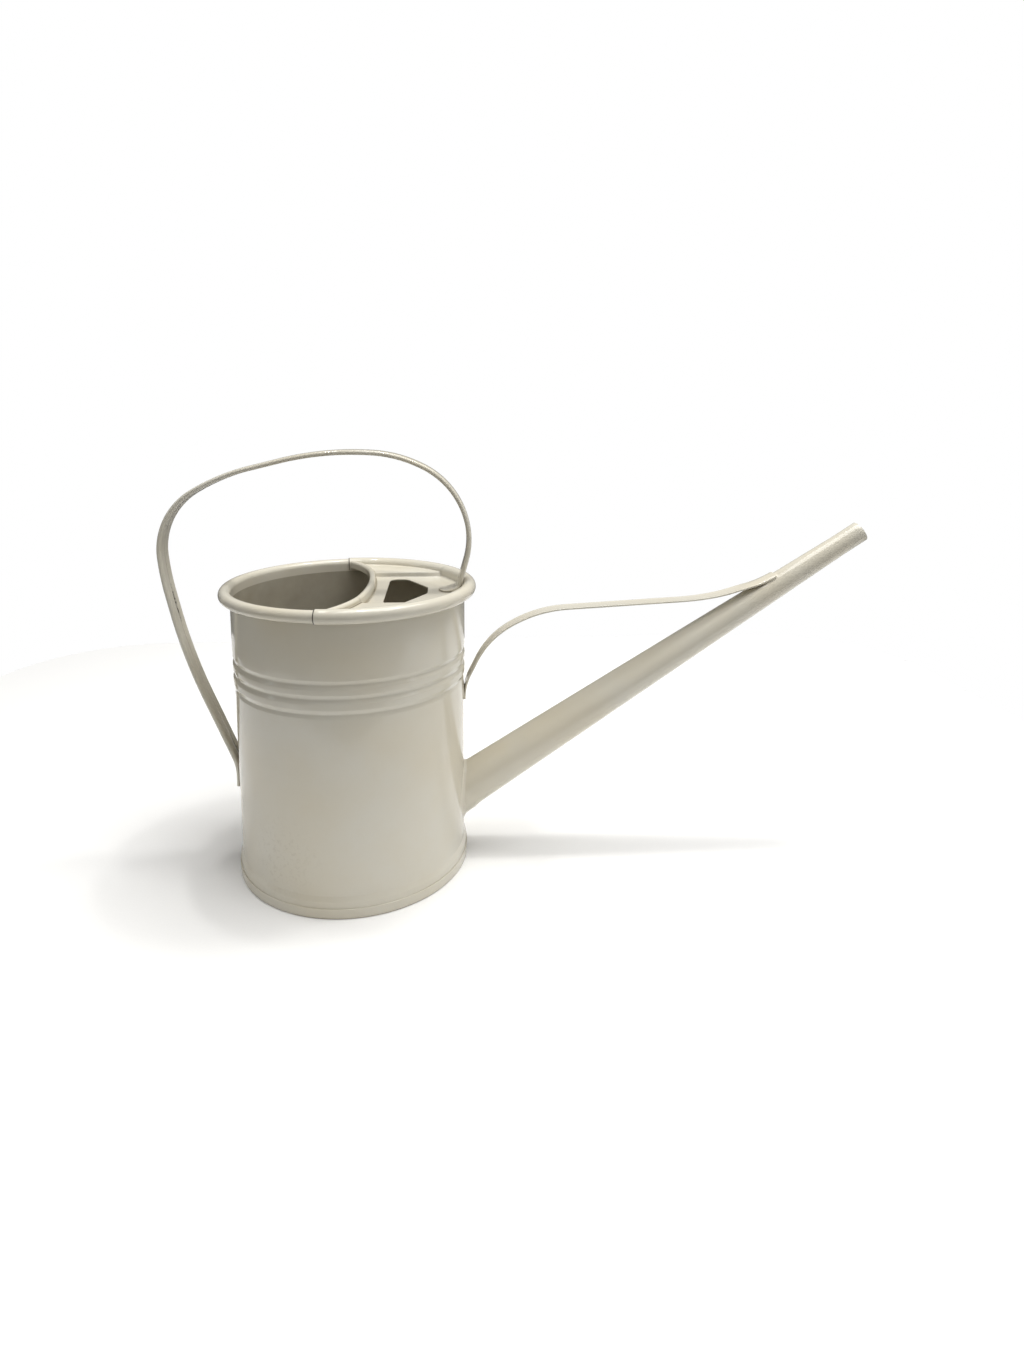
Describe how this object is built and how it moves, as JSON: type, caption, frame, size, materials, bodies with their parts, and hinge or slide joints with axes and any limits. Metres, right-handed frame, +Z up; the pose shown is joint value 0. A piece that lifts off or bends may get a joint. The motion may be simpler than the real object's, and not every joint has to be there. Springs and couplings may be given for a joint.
{
  "type": "watering can",
  "caption": "Small indoor watering can of coated sheet steel with a half cover, a long thin braced spout and a looped strap handle.",
  "frame": {"origin": "centre of the base, on the surface that the can stands on", "axes": "+Z up along the body's axis, +X towards the spout; the XZ plane is the plane of symmetry through handle, brace and spout"},
  "size_m": [0.3715, 0.132, 0.2195],
  "materials": {
    "coated_steel": "gloss ivory powder coat over thin sheet steel",
    "bare_wire": "plain drawn steel wire, hidden in the rim"
  },
  "bodies": {
    "root": {"body_wall": "coated_steel", "rim_wire": "bare_wire", "base_plate": "coated_steel", "top_cover": "coated_steel", "spout_tube": "coated_steel", "spout_weld": "coated_steel", "brace_strap": "coated_steel", "brace_foot_weld": "coated_steel", "brace_tip_weld": "coated_steel", "handle_strap": "coated_steel", "handle_heel_weld": "coated_steel"}
  },
  "joints": []
}
